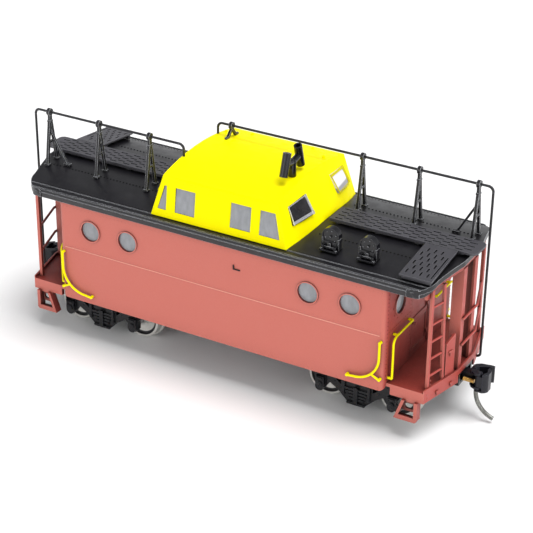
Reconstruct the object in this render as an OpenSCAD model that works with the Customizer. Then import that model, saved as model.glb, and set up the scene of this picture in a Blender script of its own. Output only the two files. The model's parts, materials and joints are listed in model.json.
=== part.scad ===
// Model railway caboose with porthole windows, a centre cupola and an induction antenna
// rail along each half of the roof. The origin is on the track plane, under the middle of
// the car: X runs along the car, Y across it and Z up. Ends "a" and "b" are the same,
// turned half a turn about Z. Millimetres throughout.

/* [Body] */
// Length of the car body between the outer faces of its end walls
body_len = 84; // [80:0.5:88]
// Width of the car body over its side sheets
body_w = 34.5; // [34:0.1:35]
// Height of the lower edge of the sides above the wheel flanges
body_bottom = 10.2; // [10:0.1:10.6]
// Thickness of the body walls
wall = 1; // [0.8:0.1:1.2]
// Distance of the inner portholes from the middle of the car
port_in = 23.1; // [22:0.1:24]
// Distance of the outer portholes from the middle of the car
port_out = 33.2; // [32:0.1:34]
// Height of the porthole centres
port_z = 29.2; // [28:0.1:30]
// Radius of the porthole openings
port_r = 2.4; // [2.2:0.05:2.45]

/* [Roof] */
// Height of the roof's crown
roof_top = 39.3; // [39:0.1:39.6]
// Radius of the roof's arch
roof_r = 70.8; // [68:0.2:74]
// Thickness of the roof
roof_t = 1.2; // [1:0.1:1.4]
// Half width of the roof at its eaves
eave_y = 18; // [17.9:0.1:18.3]

/* [Platforms] */
// Height of the platform floor
floor_z = 12; // [11.8:0.1:12.2]
// Half length to the corners of the end sills
sill_x = 50.9; // [50.5:0.1:51.2]
// Half length to the flat middle of the end sills
nose_x = 53.6; // [53.4:0.1:53.8]
// Half width of the platforms
plat_y = 16.2; // [16:0.1:16.2]

/* [Cupola] */
// Height of the crown of the cupola roof
cup_top = 49.15; // [48.5:0.05:49.5]
// Half length of the cupola along the top
cup_x = 14.4; // [14:0.1:14.8]
// Half width of the cupola along the top
cup_y = 15.2; // [15:0.1:15.4]
// Thickness of the cupola walls
cup_t = 0.9; // [0.8:0.1:1]

/* [Antenna] */
// Height of the antenna rails
rail_z = 51.5; // [51:0.1:52]
// Distance of the antenna rails from the middle of the roof
rail_y = 7.4; // [7.2:0.1:7.6]
// Radius of the antenna rails
rail_r = 0.28; // [0.25:0.01:0.34]

/* [Trucks] */
// Distance of the truck centres from the middle of the car
truck_x = 33.7; // [33.5:0.1:34]
// Half of the truck wheelbase
axle_x = 8.8; // [8.6:0.1:9]
// Radius of the wheels at the tread
tread_r = 4.75; // [4.6:0.05:4.8]
// Radius of the wheels at the flange
flange_r = 5.3; // [5.2:0.05:5.3]

/* [Couplers] */
// Height of the coupler centre line
coup_z = 9.75; // [9.7:0.05:9.8]
// Distance of the coupler pivots from the middle of the car
coup_x = 48.5; // [48.3:0.1:48.7]

/* [Hidden] */
$fn = 48;

half_l = body_len / 2;
half_w = body_w / 2;
arch_zc = roof_top - roof_r;
under_r = roof_r - roof_t;
cup_r = 60;
cup_zc = cup_top - cup_r;
slab_z = 11.2;
skirt_z = 9.4;
nose_y = 4.5;
sill_turn = atan2(nose_x - sill_x, plat_y - nose_y);
post_xs = [23, 36.7, 50.5];
knuckle_x = 57.3;
knuckle_y = -1.6;

function roof_z(y) = arch_zc + sqrt(roof_r * roof_r - y * y);
function under_z(y) = arch_zc + sqrt(under_r * under_r - y * y);
function cup_z(y) = cup_zc + sqrt(cup_r * cup_r - y * y);

// ---- shared helpers ----

// Turns its children to end a (0) or end b (1) of the car.
module at_end(e) {
    rotate([0, 0, 180 * e])
        children();
}

// Places its children at p with their Z axis turned towards q.
module aim(p, q) {
    d = q - p;
    translate(p)
        rotate([0, acos(d[2] / norm(d)), atan2(d[1], d[0])])
            children();
}

// Straight round rod between two points.
module rod(p, q, r) {
    aim(p, q)
        cylinder(h = norm(q - p), r = r, $fn = 24);
}

// Straight flat bar between two points, w by t in section.
module bar(p, q, w, t) {
    aim(p, q)
        translate([-w / 2, -t / 2, 0])
            cube([w, t, norm(q - p)]);
}

// Extrudes an outline drawn in Y and Z along X, from x0 to x1.
module along_x(x0, x1) {
    translate([x0, 0, 0])
        rotate([90, 0, 90])
            linear_extrude(x1 - x0)
                children();
}

// Extrudes an outline drawn in X and Z along Y, from y0 to y1.
module along_y(y0, y1) {
    translate([0, y1, 0])
        rotate([90, 0, 0])
            linear_extrude(y1 - y0)
                children();
}

// Outline with straight sides and round ends, its length along the first axis.
module slot_2d(l, w) {
    square([l - w, w], center = true);
    for (s = [-1, 1])
        translate([s * (l - w) / 2, 0])
            circle(d = w, $fn = 24);
}

// Local frame on the slanted part of end sill a that carries the ladder:
// the local Y axis runs along the sill's outer edge from its corner.
module on_ladder_sill() {
    translate([sill_x, -plat_y, 0])
        rotate([0, 0, -sill_turn])
            children();
}

// Plan outline of both platforms and the floor, inset all round.
module floor_plan(inset = 0) {
    x0 = sill_x - inset;
    x1 = nose_x - inset;
    y0 = plat_y - inset;
    polygon([
        [-x0, -y0], [x0, -y0], [x1, -nose_y], [x1, nose_y], [x0, y0],
        [-x0, y0], [-x1, nose_y], [-x1, -nose_y]
    ]);
}

// ---- car body ----

module porthole_ring_2d() {
    difference() {
        circle(r = port_r + 0.25);
        circle(r = port_r);
    }
}

// Plan of the body with its rounded vertical corners.
module body_plan() {
    r = 1.4;
    square([body_len - 2 * r, body_w], center = true);
    square([body_len, body_w - 2 * r], center = true);
    for (sx = [-1, 1])
        for (sy = [-1, 1])
            translate([sx * (half_l - r), sy * (half_w - r)])
                circle(r = r);
}

// Side view of the body, its lower corners rounded.
module body_side_2d() {
    r = 1.2;
    translate([-half_l, body_bottom + r])
        square([body_len, 40]);
    translate([-half_l + r, body_bottom])
        square([body_len - 2 * r, 2 * r]);
    for (sx = [-1, 1])
        translate([sx * (half_l - r), body_bottom + r])
            circle(r = r);
}

module body_shell() {
    color("indianred") {
        difference() {
            intersection() {
                linear_extrude(60)
                    body_plan();
                along_y(-half_w - 1, half_w + 1)
                    body_side_2d();
                along_x(-half_l, half_l)
                    translate([0, arch_zc])
                        circle(r = under_r - 0.02, $fn = 200);
            }
            translate([-half_l + wall, -half_w + wall, 0])
                cube([body_len - 2 * wall, body_w - 2 * wall, 60]);
            // the floor passes under both end walls
            translate([-half_l - 1, -half_w + wall, 0])
                cube([body_len + 2, body_w - 2 * wall, floor_z + 0.02]);
            // portholes
            for (sx = [-1, 1])
                for (px = [port_in, port_out])
                    translate([sx * px, 0, port_z])
                        rotate([90, 0, 0])
                            cylinder(h = 60, r = port_r, center = true);
            for (sy = [-1, 1])
                translate([0, sy * 11, port_z])
                    rotate([0, 90, 0])
                        cylinder(h = 120, r = port_r, center = true);
            // end doorways
            translate([-60, -4.6, floor_z - 1])
                cube([120, 9.2, 20.4]);
        }
        // porthole rims
        for (sx = [-1, 1])
            for (px = [port_in, port_out])
                for (sy = [-1, 1])
                    translate([sx * px, sy * (half_w + 0.1), port_z])
                        rotate([90, 0, 0])
                            linear_extrude(0.3, center = true)
                                porthole_ring_2d();
        for (sx = [-1, 1])
            for (sy = [-1, 1])
                translate([sx * (half_l + 0.1), sy * 11, port_z])
                    rotate([0, 90, 0])
                        linear_extrude(0.3, center = true)
                            porthole_ring_2d();
    }
}

// Platforms, floor and end sills in one piece.
module underframe() {
    color("indianred")
        difference() {
            union() {
                translate([0, 0, slab_z])
                    linear_extrude(floor_z - slab_z)
                        floor_plan();
                // skirt under the edge of both platforms
                translate([0, 0, skirt_z])
                    linear_extrude(slab_z - skirt_z)
                        difference() {
                            floor_plan();
                            floor_plan(0.9);
                            square([2 * half_l + 2, 60], center = true);
                        }
                // raised curb along the end sills
                translate([0, 0, floor_z])
                    linear_extrude(0.6)
                        difference() {
                            floor_plan();
                            floor_plan(0.45);
                            square([2 * (half_l + 3), 60], center = true);
                            for (s = [-1, 1])
                                translate([s * 47, 0])
                                    square([7.4, 60], center = true);
                        }
            }
            // striker notches for the couplers
            for (s = [-1, 1])
                translate([s * nose_x, 0, skirt_z])
                    cube([4, 8.4, 2 * (slab_z - skirt_z)], center = true);
            // blind holes for the coupler screws
            for (s = [-1, 1])
                translate([s * coup_x, 0, slab_z - 1])
                    cylinder(h = 1.6, r = 0.75);
        }
}

// Centre sill, cross bearers and truck bolsters under the floor.
module centre_frame() {
    color("dimgray") {
        difference() {
            union() {
                for (s = [-1, 1])
                    translate([-28, s * 2 - 0.5, 8.6])
                        cube([56, 1, slab_z - 8.6]);
                for (x = [-19, -10, 0, 10, 19])
                    translate([x - 0.5, -15.6, 9.8])
                        cube([1, 31.2, slab_z - 9.8]);
                for (s = [-1, 1]) {
                    translate([s * truck_x, 0, 8.5])
                        cylinder(h = slab_z - 8.5, r = 3.4);
                    translate([s * (truck_x - 2.8) - 3.4, -2.5, 9.4])
                        cube([6.8, 5, slab_z - 9.4]);
                }
            }
            for (s = [-1, 1])
                translate([s * truck_x, 0, 8])
                    cylinder(h = 2.9, r = 1.05);
        }
    }
}

// Brake cylinder, air reservoir and their hanger straps.
module brake_gear() {
    color("dimgray") {
        translate([5.2, -7.4, 8.6])
            rotate([0, 90, 0])
                cylinder(h = 4.2, r = 1.7);
        translate([3.9, -7.4, 8.6])
            rotate([0, 90, 0])
                cylinder(h = 1.4, r = 0.5);
        translate([6.6, -7.8, 10])
            cube([1.4, 0.8, 1.2]);
        translate([-7.6, 7.6, 8.8])
            rotate([0, 90, 0])
                cylinder(h = 6, r = 1.8);
        translate([-6.4, 7.2, 10])
            cube([1, 0.8, 1.2]);
        translate([-3.8, 7.2, 10])
            cube([1, 0.8, 1.2]);
        translate([-1.6, 7.6, 8.8])
            rotate([0, 90, 0])
                cylinder(h = 0.7, r = 1.1);
    }
}

module ballast_weight() {
    color("slategray")
        translate([-34, -13.5, floor_z + 0.02])
            cube([68, 27, 3.2]);
}

// ---- roof ----

module roof_plan() {
    r = 5;
    cx = 46.3;
    cy = eave_y + 0.1 - r;
    square([2 * cx, 2 * (cy + r)], center = true);
    for (e = [0, 1])
        rotate(180 * e) {
            polygon([
                [cx - 1, -cy], [cx + r, -cy], [nose_x - 0.2, -nose_y],
                [nose_x - 0.2, nose_y], [cx + r, cy], [cx - 1, cy]
            ]);
            for (s = [-1, 1])
                translate([cx, s * cy])
                    circle(r = r, $fn = 64);
        }
}

// Half of the stepped eave moulding, on the positive side.
module eave_2d() {
    e = eave_y;
    b = half_w + 0.05;
    polygon([
        [b, 35.0], [e - 0.3, 35.0], [e, 36.15], [e, 36.35], [e - 0.15, 36.4],
        [e - 0.2, 37.0], [e - 0.27, 37.1], [e - 0.58, 37.14], [e - 0.62, 36.8],
        [e - 0.82, 36.8], [e - 0.86, 37.05], [15.6, roof_z(15.6) - 0.2],
        [15.6, under_z(15.6) + 0.25], [16.6, under_z(16.6)], [b, under_z(b)]
    ]);
}

module roof() {
    color("dimgray")
        intersection() {
            translate([0, 0, 30])
                linear_extrude(12)
                    roof_plan();
            union() {
                along_x(-60, 60)
                    intersection() {
                        difference() {
                            translate([0, arch_zc])
                                circle(r = roof_r, $fn = 200);
                            translate([0, arch_zc])
                                circle(r = under_r, $fn = 200);
                        }
                        translate([0, 38])
                            square([32.2, 10], center = true);
                    }
                for (s = [0, 1])
                    along_x(-60, 60)
                        mirror([s, 0])
                            eave_2d();
            }
        }
}

// Red strip under the end of the roof, deeper at its corners.
module end_arch(e) {
    color("indianred")
        at_end(e)
            intersection() {
                translate([0, 0, 30])
                    linear_extrude(12)
                        polygon([
                            [50, -15.4], [52.9, -4.5], [52.9, 4.5], [50, 15.4],
                            [49.4, 15.4], [52.2, 4.5], [52.2, -4.5], [49.4, -15.4]
                        ]);
                along_x(45, 56) {
                    difference() {
                        translate([0, arch_zc])
                            circle(r = under_r - 0.02, $fn = 200);
                        translate([0, arch_zc])
                            circle(r = under_r - 1.1, $fn = 200);
                    }
                    for (s = [-1, 1])
                        intersection() {
                            translate([0, arch_zc])
                                circle(r = under_r - 0.02, $fn = 200);
                            polygon([
                                [s * 15.4, 34], [s * 15.4, 38], [s * 9.5, 38],
                                [s * 9.5, 36.6], [s * 13.2, 35.9], [s * 14.4, 34]
                            ]);
                        }
                }
            }
}

module door(e) {
    color("indianred")
        at_end(e)
            difference() {
                along_x(half_l - 0.85, half_l - 0.2)
                    translate([-4.55, floor_z + 0.04])
                        square([9.1, 19.3]);
                // two shallow panels on the outer face
                along_x(half_l - 0.4, half_l)
                    for (p = [[13.6, 6.4], [21.4, 8.2]])
                        translate([-3.5, p[0]])
                            square([7, p[1]]);
            }
}

module side_glazing() {
    color("gainsboro")
        for (sx = [-1, 1])
            for (px = [port_in, port_out])
                for (sy = [-1, 1])
                    translate([sx * px, sy * (half_w - 0.6), port_z])
                        rotate([90, 0, 0])
                            cylinder(h = 0.6, r = port_r - 0.03, center = true);
}

module end_glazing() {
    color("gainsboro") {
        for (sx = [-1, 1])
            for (sy = [-1, 1])
                translate([sx * (half_l - 0.6), sy * 11, port_z])
                    rotate([0, 90, 0])
                        cylinder(h = 0.6, r = port_r - 0.03, center = true);
    }
}

// ---- cupola ----

// Lofted block: a bowed plan at the foot, the arched roof section at the top.
module cupola_block(inset, foot_z) {
    x0 = 17.3 - inset;
    y0 = 16.4 - inset;
    bow = 3.2;
    steps = 8;
    top_y = cup_y - inset;
    hull() {
        translate([0, 0, foot_z])
            linear_extrude(0.01)
                polygon([
                    for (e = [-1, 1])
                        for (i = [0 : steps])
                            let (t = 2 * i / steps - 1)
                                [-e * (x0 + bow * (1 - t * t)), e * y0 * t]
                ]);
        along_x(-cup_x + inset, cup_x - inset)
            polygon(concat(
                [for (i = [0 : 16]) let (y = top_y * (1 - i / 8)) [y, cup_z(y) - inset]],
                [[-top_y, 46.9 - inset], [top_y, 46.9 - inset]]
            ));
    }
}

// Outlines of the side windows, drawn in X and Z, for the side at negative Y.
module side_windows_2d(gap = 0) {
    z0 = 39.2 + gap;
    z1 = 44.85 - gap;
    polygon([[-15.5 + 1.3 * gap, z0], [-13.35 - gap, z0], [-13.35 - gap, z1], [-13.9 + gap, z1]]);
    polygon([[-11 + gap, z0], [-6 - gap, z0], [-6 - gap, z1], [-11 + gap, z1]]);
    polygon([[3 + gap, z0], [8.1 - gap, z0], [8.1 - gap, z1], [3 + gap, z1]]);
    polygon([[10.3 + gap, z0], [15.4 - gap, z0], [14.0 - gap, z1], [10.3 + gap, z1]]);
}

// Outlines of the end windows, drawn in Y and Z.
module end_windows_2d(gap = 0) {
    for (s = [0, 1])
        mirror([s, 0])
            polygon([
                [5.6 + gap, 46.05 - gap], [12.7 - gap, 45.65 - gap],
                [13.1 - gap, 41.75 + gap], [5.8 + gap, 42 + gap]
            ]);
}

module cupola_shell() {
    color("gold")
        difference() {
            cupola_block(0, 36.9);
            cupola_block(cup_t, 36.8);
            along_x(-30, 30)
                translate([0, arch_zc])
                    circle(r = roof_r + 0.02, $fn = 200);
            for (e = [0, 1])
                at_end(e)
                    along_y(-20, -10)
                        side_windows_2d();
            along_x(-30, 30)
                end_windows_2d();
        }
}

module cupola_side_panes() {
    color("gainsboro")
        intersection() {
            difference() {
                cupola_block(0.25, 38.6);
                cupola_block(0.7, 38.5);
            }
            for (e = [0, 1])
                at_end(e)
                    along_y(-20, -10)
                        side_windows_2d(0.03);
        }
}

module cupola_end_panes() {
    color("gainsboro")
        intersection() {
            difference() {
                cupola_block(0.25, 39.6);
                cupola_block(0.7, 39.5);
            }
            along_x(-30, 30)
                end_windows_2d(0.03);
        }
}

// ---- roof walks and fittings ----

// Walkway plate with staggered tread slots and its cross cleats.
module running_board(e) {
    w = 3.2;
    x0 = 20.6;
    x1 = 55.2;
    color("dimgray")
        at_end(e) {
            translate([0, 0, 40.05])
                linear_extrude(0.45)
                    difference() {
                        union() {
                            translate([x0, -w])
                                square([x1 - x0 - 1.4, 2 * w]);
                            translate([x1 - 2, -w + 1.4])
                                square([2, 2 * w - 2.8]);
                            for (s = [-1, 1])
                                translate([x1 - 1.4, s * (w - 1.4)])
                                    circle(r = 1.4);
                        }
                        for (row = [0 : 6])
                            for (i = [0 : 8])
                                translate([
                                    x0 + 1.9 + 3.54 * i + 1.77 * (row % 2),
                                    -2.4 + 0.8 * row
                                ])
                                    square([1.9, 0.42], center = true);
                    }
            for (x = [22.5, 32, 41.5, 50.5])
                translate([x - 0.5, -2.9, roof_z(0) + 0.02])
                    cube([1, 5.8, 40.05 - roof_z(0) - 0.02]);
            for (s = [-1, 1])
                translate([x0, s * 2.95 - 0.2, 39.75])
                    cube([x1 - x0 - 3, 0.4, 0.4]);
        }
}

// Sloping walkway from the running board down to the eave, at the corner of the roof.
module lateral_board(e) {
    tilt = 6.6;
    color("dimgray")
        at_end(e) {
            translate([43.7, -3.35, 40.1])
                rotate([tilt, 0, 0])
                    translate([0, -13, 0])
                        linear_extrude(0.4)
                            difference() {
                                square([7.4, 13]);
                                for (col = [0 : 6])
                                    for (i = [0 : 2])
                                        translate([0.9 + 0.8 * col, 1.9 + 3.54 * i + 1.77 * (col % 2)])
                                            square([0.4, 1.45], center = true);
                                translate([6.7, 5.4])
                                    square([0.34, 8.6], center = true);
                            }
            for (y = [-5.5, -15.2])
                translate([44, y - 0.4, roof_z(y + 0.4) + 0.03])
                    cube([6.6, 0.8, 40.2 + (y + 3.35) * tan(tilt) - roof_z(y + 0.4) - 0.03]);
        }
}

// Smoke jack: an upright stub with two arms, each with an open leaning barrel.
module smoke_jack() {
    x = 12;
    y = -4.7;
    r = 0.95;
    lean = 17;
    color("dimgray")
        difference() {
            union() {
                translate([x, y, cup_z(y) + 0.1])
                    cylinder(h = 3.3, r = 0.9);
                translate([x, y, cup_z(y) + 3.3])
                    sphere(r = 0.92);
                for (s = [-1, 1]) {
                    translate([x, y, 52.3])
                        rotate([-s * 80, 0, 0])
                            cylinder(h = 3, r = 0.75);
                    translate([x, y + s * 3.1, 52.8])
                        rotate([s * lean, 0, 0])
                            cylinder(h = 5.3, r = r, center = true);
                }
            }
            for (s = [-1, 1])
                translate([x, y + s * 3.1, 52.8])
                    rotate([s * lean, 0, 0])
                        cylinder(h = 6, r = 0.6, center = true);
        }
}

// Two round drums on brackets, on one side of the roof.
module roof_drums() {
    color("dimgray")
        for (x = [26, 34.9])
            translate([x, 0, 0]) {
                translate([0, -11.6, 41.5])
                    rotate([90, 0, 0])
                        cylinder(h = 1.3, r = 2.05);
                translate([0, -12.9, 41.5])
                    rotate([90, 0, 0])
                        linear_extrude(0.25)
                            difference() {
                                circle(r = 2.05);
                                circle(r = 1.8);
                            }
                translate([0, -12.9, 41.5])
                    rotate([90, 0, 0])
                        cylinder(h = 0.3, r = 0.28);
                along_y(-13.2, -11.8)
                    polygon([[-1.9, 38.35], [1.9, 38.35], [1.5, 40.4], [-1.5, 40.4]]);
                translate([-2.1, -14.2, 38.35])
                    cube([4.2, 2.8, 0.35]);
                for (s = [-1, 1])
                    translate([s * 1.45 - 0.3, -13.9, 38.5])
                        cube([0.6, 1, 1.1]);
            }
}

// ---- antenna ----

// Rail: up from the cupola roof, along the car and down past the roof's end to the sill.
module antenna_rail(e) {
    x0 = e == 0 ? -14.05 : 13.95;
    x1 = e == 0 ? 53.8 : 54.5;
    foot_z = cup_z(rail_y - 0.3) + 0.02;
    b = 1.2;
    hook = 0.9;
    low_z = 9.95;
    color("dimgray")
        at_end(e)
            translate([0, rail_y, 0]) {
                translate([x0, 0, foot_z])
                    cylinder(h = rail_z - b - foot_z + 0.1, r = rail_r, $fn = 24);
                translate([x0 + b, 0, rail_z - b])
                    rotate([-90, 0, 0])
                        rotate([0, 0, 180])
                            rail_bend(b);
                translate([x0 + b - 0.1, 0, rail_z])
                    rotate([0, 90, 0])
                        cylinder(h = x1 - x0 - 2 * b + 0.2, r = rail_r, $fn = 24);
                translate([x1 - b, 0, rail_z - b])
                    rotate([90, 0, 0])
                        rail_bend(b);
                translate([x1, 0, low_z + hook - 0.1])
                    cylinder(h = rail_z - b - low_z - hook + 0.2, r = rail_r, $fn = 24);
                translate([x1 - hook, 0, low_z + hook])
                    rotate([-90, 0, 0])
                        rail_bend(hook);
                translate([52.97, 0, low_z])
                    rotate([0, 90, 0])
                        cylinder(h = x1 - hook + 0.1 - 52.97, r = rail_r, $fn = 24);
            }
}

// Quarter bend of a rail, a little thicker than the straight rod.
module rail_bend(b) {
    rotate_extrude(angle = 90, $fn = 48)
        translate([b, 0])
            circle(r = rail_r + 0.02, $fn = 24);
}

// One leg of a post, from the post's head down to a foot plate on the roof.
module post_leg(x, y_top, z_top, y_foot, z_foot) {
    bar([x, y_top, z_top], [x, y_foot, z_foot + 0.2], 0.65, 0.64);
    translate([x - 0.6, y_foot - 0.5, z_foot])
        cube([1.2, 1, 0.35]);
}

// Ring at a post's head that holds the rail.
module post_ring(x) {
    translate([x, rail_y, rail_z])
        rotate([0, 90, 0])
            linear_extrude(0.8, center = true)
                difference() {
                    circle(r = 0.85);
                    circle(r = rail_r + 0.04);
                }
}

module antenna_posts(e) {
    color("dimgray")
        at_end(e) {
            for (x = post_xs) {
                post_ring(x);
                translate([x - 0.32, rail_y - 0.45, 49])
                    cube([0.64, 0.9, 1.8]);
                translate([x - 0.42, rail_y - 0.6, 49.1])
                    cube([0.84, 1.2, 0.4]);
                for (s = [-1, 1])
                    post_leg(x, rail_y + s * 0.25, 49.3, rail_y + s * 1.8,
                        roof_z(rail_y + s * 1.8 - 0.45) + 0.03);
                for (h = [[43.9, 1.05], [46.6, 0.65]])
                    translate([x - 0.24, rail_y - h[1], h[0]])
                        cube([0.48, 2 * h[1], 0.5]);
            }
            // brace of the end post, leaning along the car
            bar([50.45, rail_y, 46.7], [46.2, rail_y, roof_z(rail_y) + 0.25], 0.5, 0.5);
            translate([45.2, rail_y - 0.5, roof_z(rail_y - 0.5) + 0.03])
                cube([1.7, 1, 0.45]);
            // short post on the cupola roof, at end a only
            if (e == 0) {
                post_ring(-10.4);
                for (s = [-1, 1])
                    for (z = [cup_z(rail_y + (s > 0 ? 1.4 : -2.7)) + 0.04]) {
                        bar([-10.4, rail_y, 50.85], [-10.4, rail_y + s * 1.7, z + 0.12], 0.56, 0.62);
                        translate([-10.7, rail_y + s * 2.05 - 0.65, z])
                            cube([0.6, 1.3, 0.4]);
                    }
            }
        }
}

// ---- ends ----

// Ladder on the slanted part of the end sill.
module ladder(e) {
    color("indianred")
        at_end(e)
            on_ladder_sill() {
                // outer stile upright, inner stile leaning in towards the roof
                translate([-0.95, 1.5, floor_z + 0.64])
                    cube([0.6, 0.7, 36.2 - floor_z - 0.64]);
                translate([-0.95, 1.5, floor_z + 0.02])
                    cube([0.35, 0.7, 1]);
                along_x(-0.95, -0.35)
                    polygon([
                        [6.6, floor_z + 0.64], [7.3, floor_z + 0.64],
                        [6.1, 36.1], [5.4, 36.1]
                    ]);
                translate([-0.95, 6.6, floor_z + 0.02])
                    cube([0.35, 0.7, 0.9]);
                for (i = [0 : 4])
                    translate([-0.65, 1.8, 15.2 + 4.15 * i])
                        rotate([-90, 0, 0])
                            cylinder(h = 4.9 - 0.19 * i, r = 0.27, $fn = 24);
            }
}

// Pair of deep channel posts in the middle of the platform's end.
module end_posts(e) {
    h = under_z(3.7) - 1.15 - floor_z;
    color("indianred")
        at_end(e)
            for (s = [-1, 1])
                translate([0, 0, floor_z + 0.02]) {
                    translate([50.5, s * 3.4 - 0.3, 0])
                        cube([2.6, 0.6, h]);
                    translate([52.5, s * 2.9 - 0.8, 0])
                        cube([0.6, 1.6, h]);
                }
}

// Corner post and two bent rails on the half of the end that has no ladder.
module end_railing(e) {
    color("indianred")
        at_end(e) {
            translate([49.7, 13.9, floor_z + 0.02])
                cube([0.75, 0.75, 21.9]);
            for (z = [18.3, 24.7]) {
                rod([53.43, -3.4, z], [53.43, 4, z], 0.3);
                translate([53.43, 4, z])
                    sphere(r = 0.32);
                rod([53.43, 4, z], [50.1, 14.2, z], 0.3);
            }
        }
}

// Low plate between the ladder and the near centre post.
module gate_plate(e) {
    color("indianred")
        at_end(e)
            on_ladder_sill() {
                along_x(-0.95, -0.5)
                    polygon([
                        [7.8, floor_z + 0.02], [10.9, floor_z + 0.02],
                        [10.9, 22.1], [7.8, 20.6]
                    ]);
                translate([-1.6, 7.8, floor_z + 0.02])
                    cube([0.8, 0.5, 8.3]);
                translate([-1.6, 10.4, floor_z + 0.02])
                    cube([0.8, 0.5, 9.6]);
            }
}

// Pair of corner steps at one end, with a pierced riser.
module steps(e) {
    z0 = 4.5;
    color("indianred")
        at_end(e)
            for (s = [0, 1])
                mirror([0, s, 0]) {
                    along_y(-16.9, -15) {
                        polygon([[46.1, skirt_z], [46.8, skirt_z], [45.1, z0], [44.4, z0]]);
                        polygon([[49.0, skirt_z], [49.8, skirt_z], [49.8, z0 + 0.4], [49.4, z0], [49.0, z0]]);
                        polygon([[44.4, z0], [49.4, z0], [49.4, z0 + 0.5], [44.6, z0 + 0.5]]);
                    }
                    along_y(-16.9, -16.5)
                        polygon([[44.4, z0], [49.4, z0], [49.4, z0 + 1.1], [44.8, z0 + 1.1]]);
                    along_y(-15.5, -15)
                        difference() {
                            polygon([[45.4, 6.2], [49.4, 6.2], [49.4, 8.7], [46.3, 8.7]]);
                            translate([47.5, 7.5])
                                slot_2d(2.4, 1.3);
                        }
                    translate([45.9, -16.2, skirt_z - 0.5])
                        cube([3.9, 1.2, 0.5]);
                }
}

// Curved grab irons at the four corners of the sides, with three stand-offs each.
module side_grabs() {
    y = -half_w - 0.75;
    r = 0.27;
    c = [34.9, 18.5];
    b = 6;
    color("yellow")
        for (sx = [0, 1])
            for (sy = [0, 1])
                mirror([sx, 0, 0])
                    mirror([0, sy, 0]) {
                        rod([c[0] + b, y, c[1]], [c[0] + b, y, 22.3], r);
                        translate([c[0], y, c[1]])
                            rotate([-90, 0, 0])
                                rotate_extrude(angle = 90, $fn = 64)
                                    translate([b, 0])
                                        circle(r = r, $fn = 24);
                        rod([c[0], y, c[1] - b], [33.4, y, 12.3], r);
                        rod([c[0] + b * cos(45), y, c[1] - b * sin(45)], [41.1, y, 13.3], 0.25);
                        for (p = [[c[0] + b, 22.3], [33.4, 12.3], [41.1, 13.3]])
                            translate([p[0], -half_w - 0.02, p[1]])
                                rotate([90, 0, 0])
                                    cylinder(h = 0.8, r = 0.34);
                    }
}

// Angled handrails on an end wall, one on each side of the door.
module end_grabs(e) {
    x = half_l + 1;
    r = 0.25;
    b = 1.6;
    color("yellow")
        at_end(e)
            for (s = [0, 1])
                mirror([0, s, 0]) {
                    rod([x, -15.5, 13], [x, -15.5, 22.8 - b], r);
                    translate([x, -15.5 + b, 22.8 - b])
                        rotate([0, -90, 0])
                            rotate([0, 0, -90])
                                rotate_extrude(angle = 90, $fn = 48)
                                    translate([b, 0])
                                        circle(r = r, $fn = 24);
                    rod([x, -15.5 + b, 22.8], [x, -6.1, 22.8], r);
                    for (p = [[-15.5, 13], [-13.6, 22.8], [-6.1, 22.8]])
                        translate([half_l + 0.02, p[0], p[1]])
                            rotate([0, 90, 0])
                                cylinder(h = 1, r = 0.31);
                }
}

// ---- trucks ----

// Side view of a truck frame, drawn in X and Z about the truck centre.
module side_frame_2d() {
    for (s = [0, 1])
        mirror([s, 0])
            difference() {
                polygon([
                    [0, 9.4], [7.2, 9.4], [8.3, 8.8], [9.9, 8.8], [10.4, 8.2], [10.4, 6.8],
                    [9.9, 6.2], [9.9, 4], [9.4, 3.4], [8.3, 3.4], [6.6, 5.9], [4.5, 4.6],
                    [3.4, 3.5], [2.2, 2.3], [0, 2.1]
                ]);
                polygon([[3.9, 6.2], [6.4, 8.2], [3.9, 8.2]]);
            }
}

module truck_frame(e) {
    color("dimgray")
        at_end(e)
            translate([truck_x, 0, 0])
                difference() {
                    union() {
                        for (s = [0, 1])
                            mirror([0, s, 0]) {
                                along_y(-13.2, -11.8)
                                    side_frame_2d();
                                // top chord rib, spring guides and bottom band
                                translate([-6.4, -13.6, 8.6])
                                    cube([12.8, 0.6, 0.8]);
                                for (t = [-1, 1])
                                    translate([t * 3.1 - 0.3, -13.7, 4])
                                        cube([0.6, 0.7, 4.8]);
                                translate([-2.2, -13.7, 2.2])
                                    cube([4.4, 0.7, 0.5]);
                                // stack of leaf springs, longest at the top
                                for (i = [0 : 3])
                                    translate([-2.9 + 0.35 * i, -13.6, 5.7 - 0.8 * i])
                                        cube([5.8 - 0.7 * i, 0.6, 0.5]);
                                translate([-0.5, -13.9, 2.3])
                                    cube([1, 0.9, 4.4]);
                                // narrow journal boxes with round lids
                                for (t = [-1, 1]) {
                                    translate([t * axle_x - 1.05, -14.1, 4.6])
                                        cube([2.1, 1.1, 2.5]);
                                    translate([t * axle_x, -13, 4.6])
                                        rotate([90, 0, 0])
                                            cylinder(h = 1.1, r = 1.05);
                                    translate([t * axle_x, -14, 5.2])
                                        rotate([90, 0, 0])
                                            cylinder(h = 0.4, r = 0.75);
                                }
                            }
                        // bolster and spring plank
                        translate([-2.3, -12, 6.6])
                            cube([4.6, 24, 1.8]);
                        translate([-1.7, -12, 2.2])
                            cube([3.4, 24, 0.9]);
                    }
                    translate([0, 0, 5])
                        cylinder(h = 5, r = 1.5);
                    for (s = [-1, 1])
                        for (t = [-1, 1])
                            translate([t * axle_x, s * 12.2, flange_r])
                                rotate([90, 0, 0])
                                    cylinder(h = 1.6, r = 0.56, center = true);
                }
}

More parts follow.
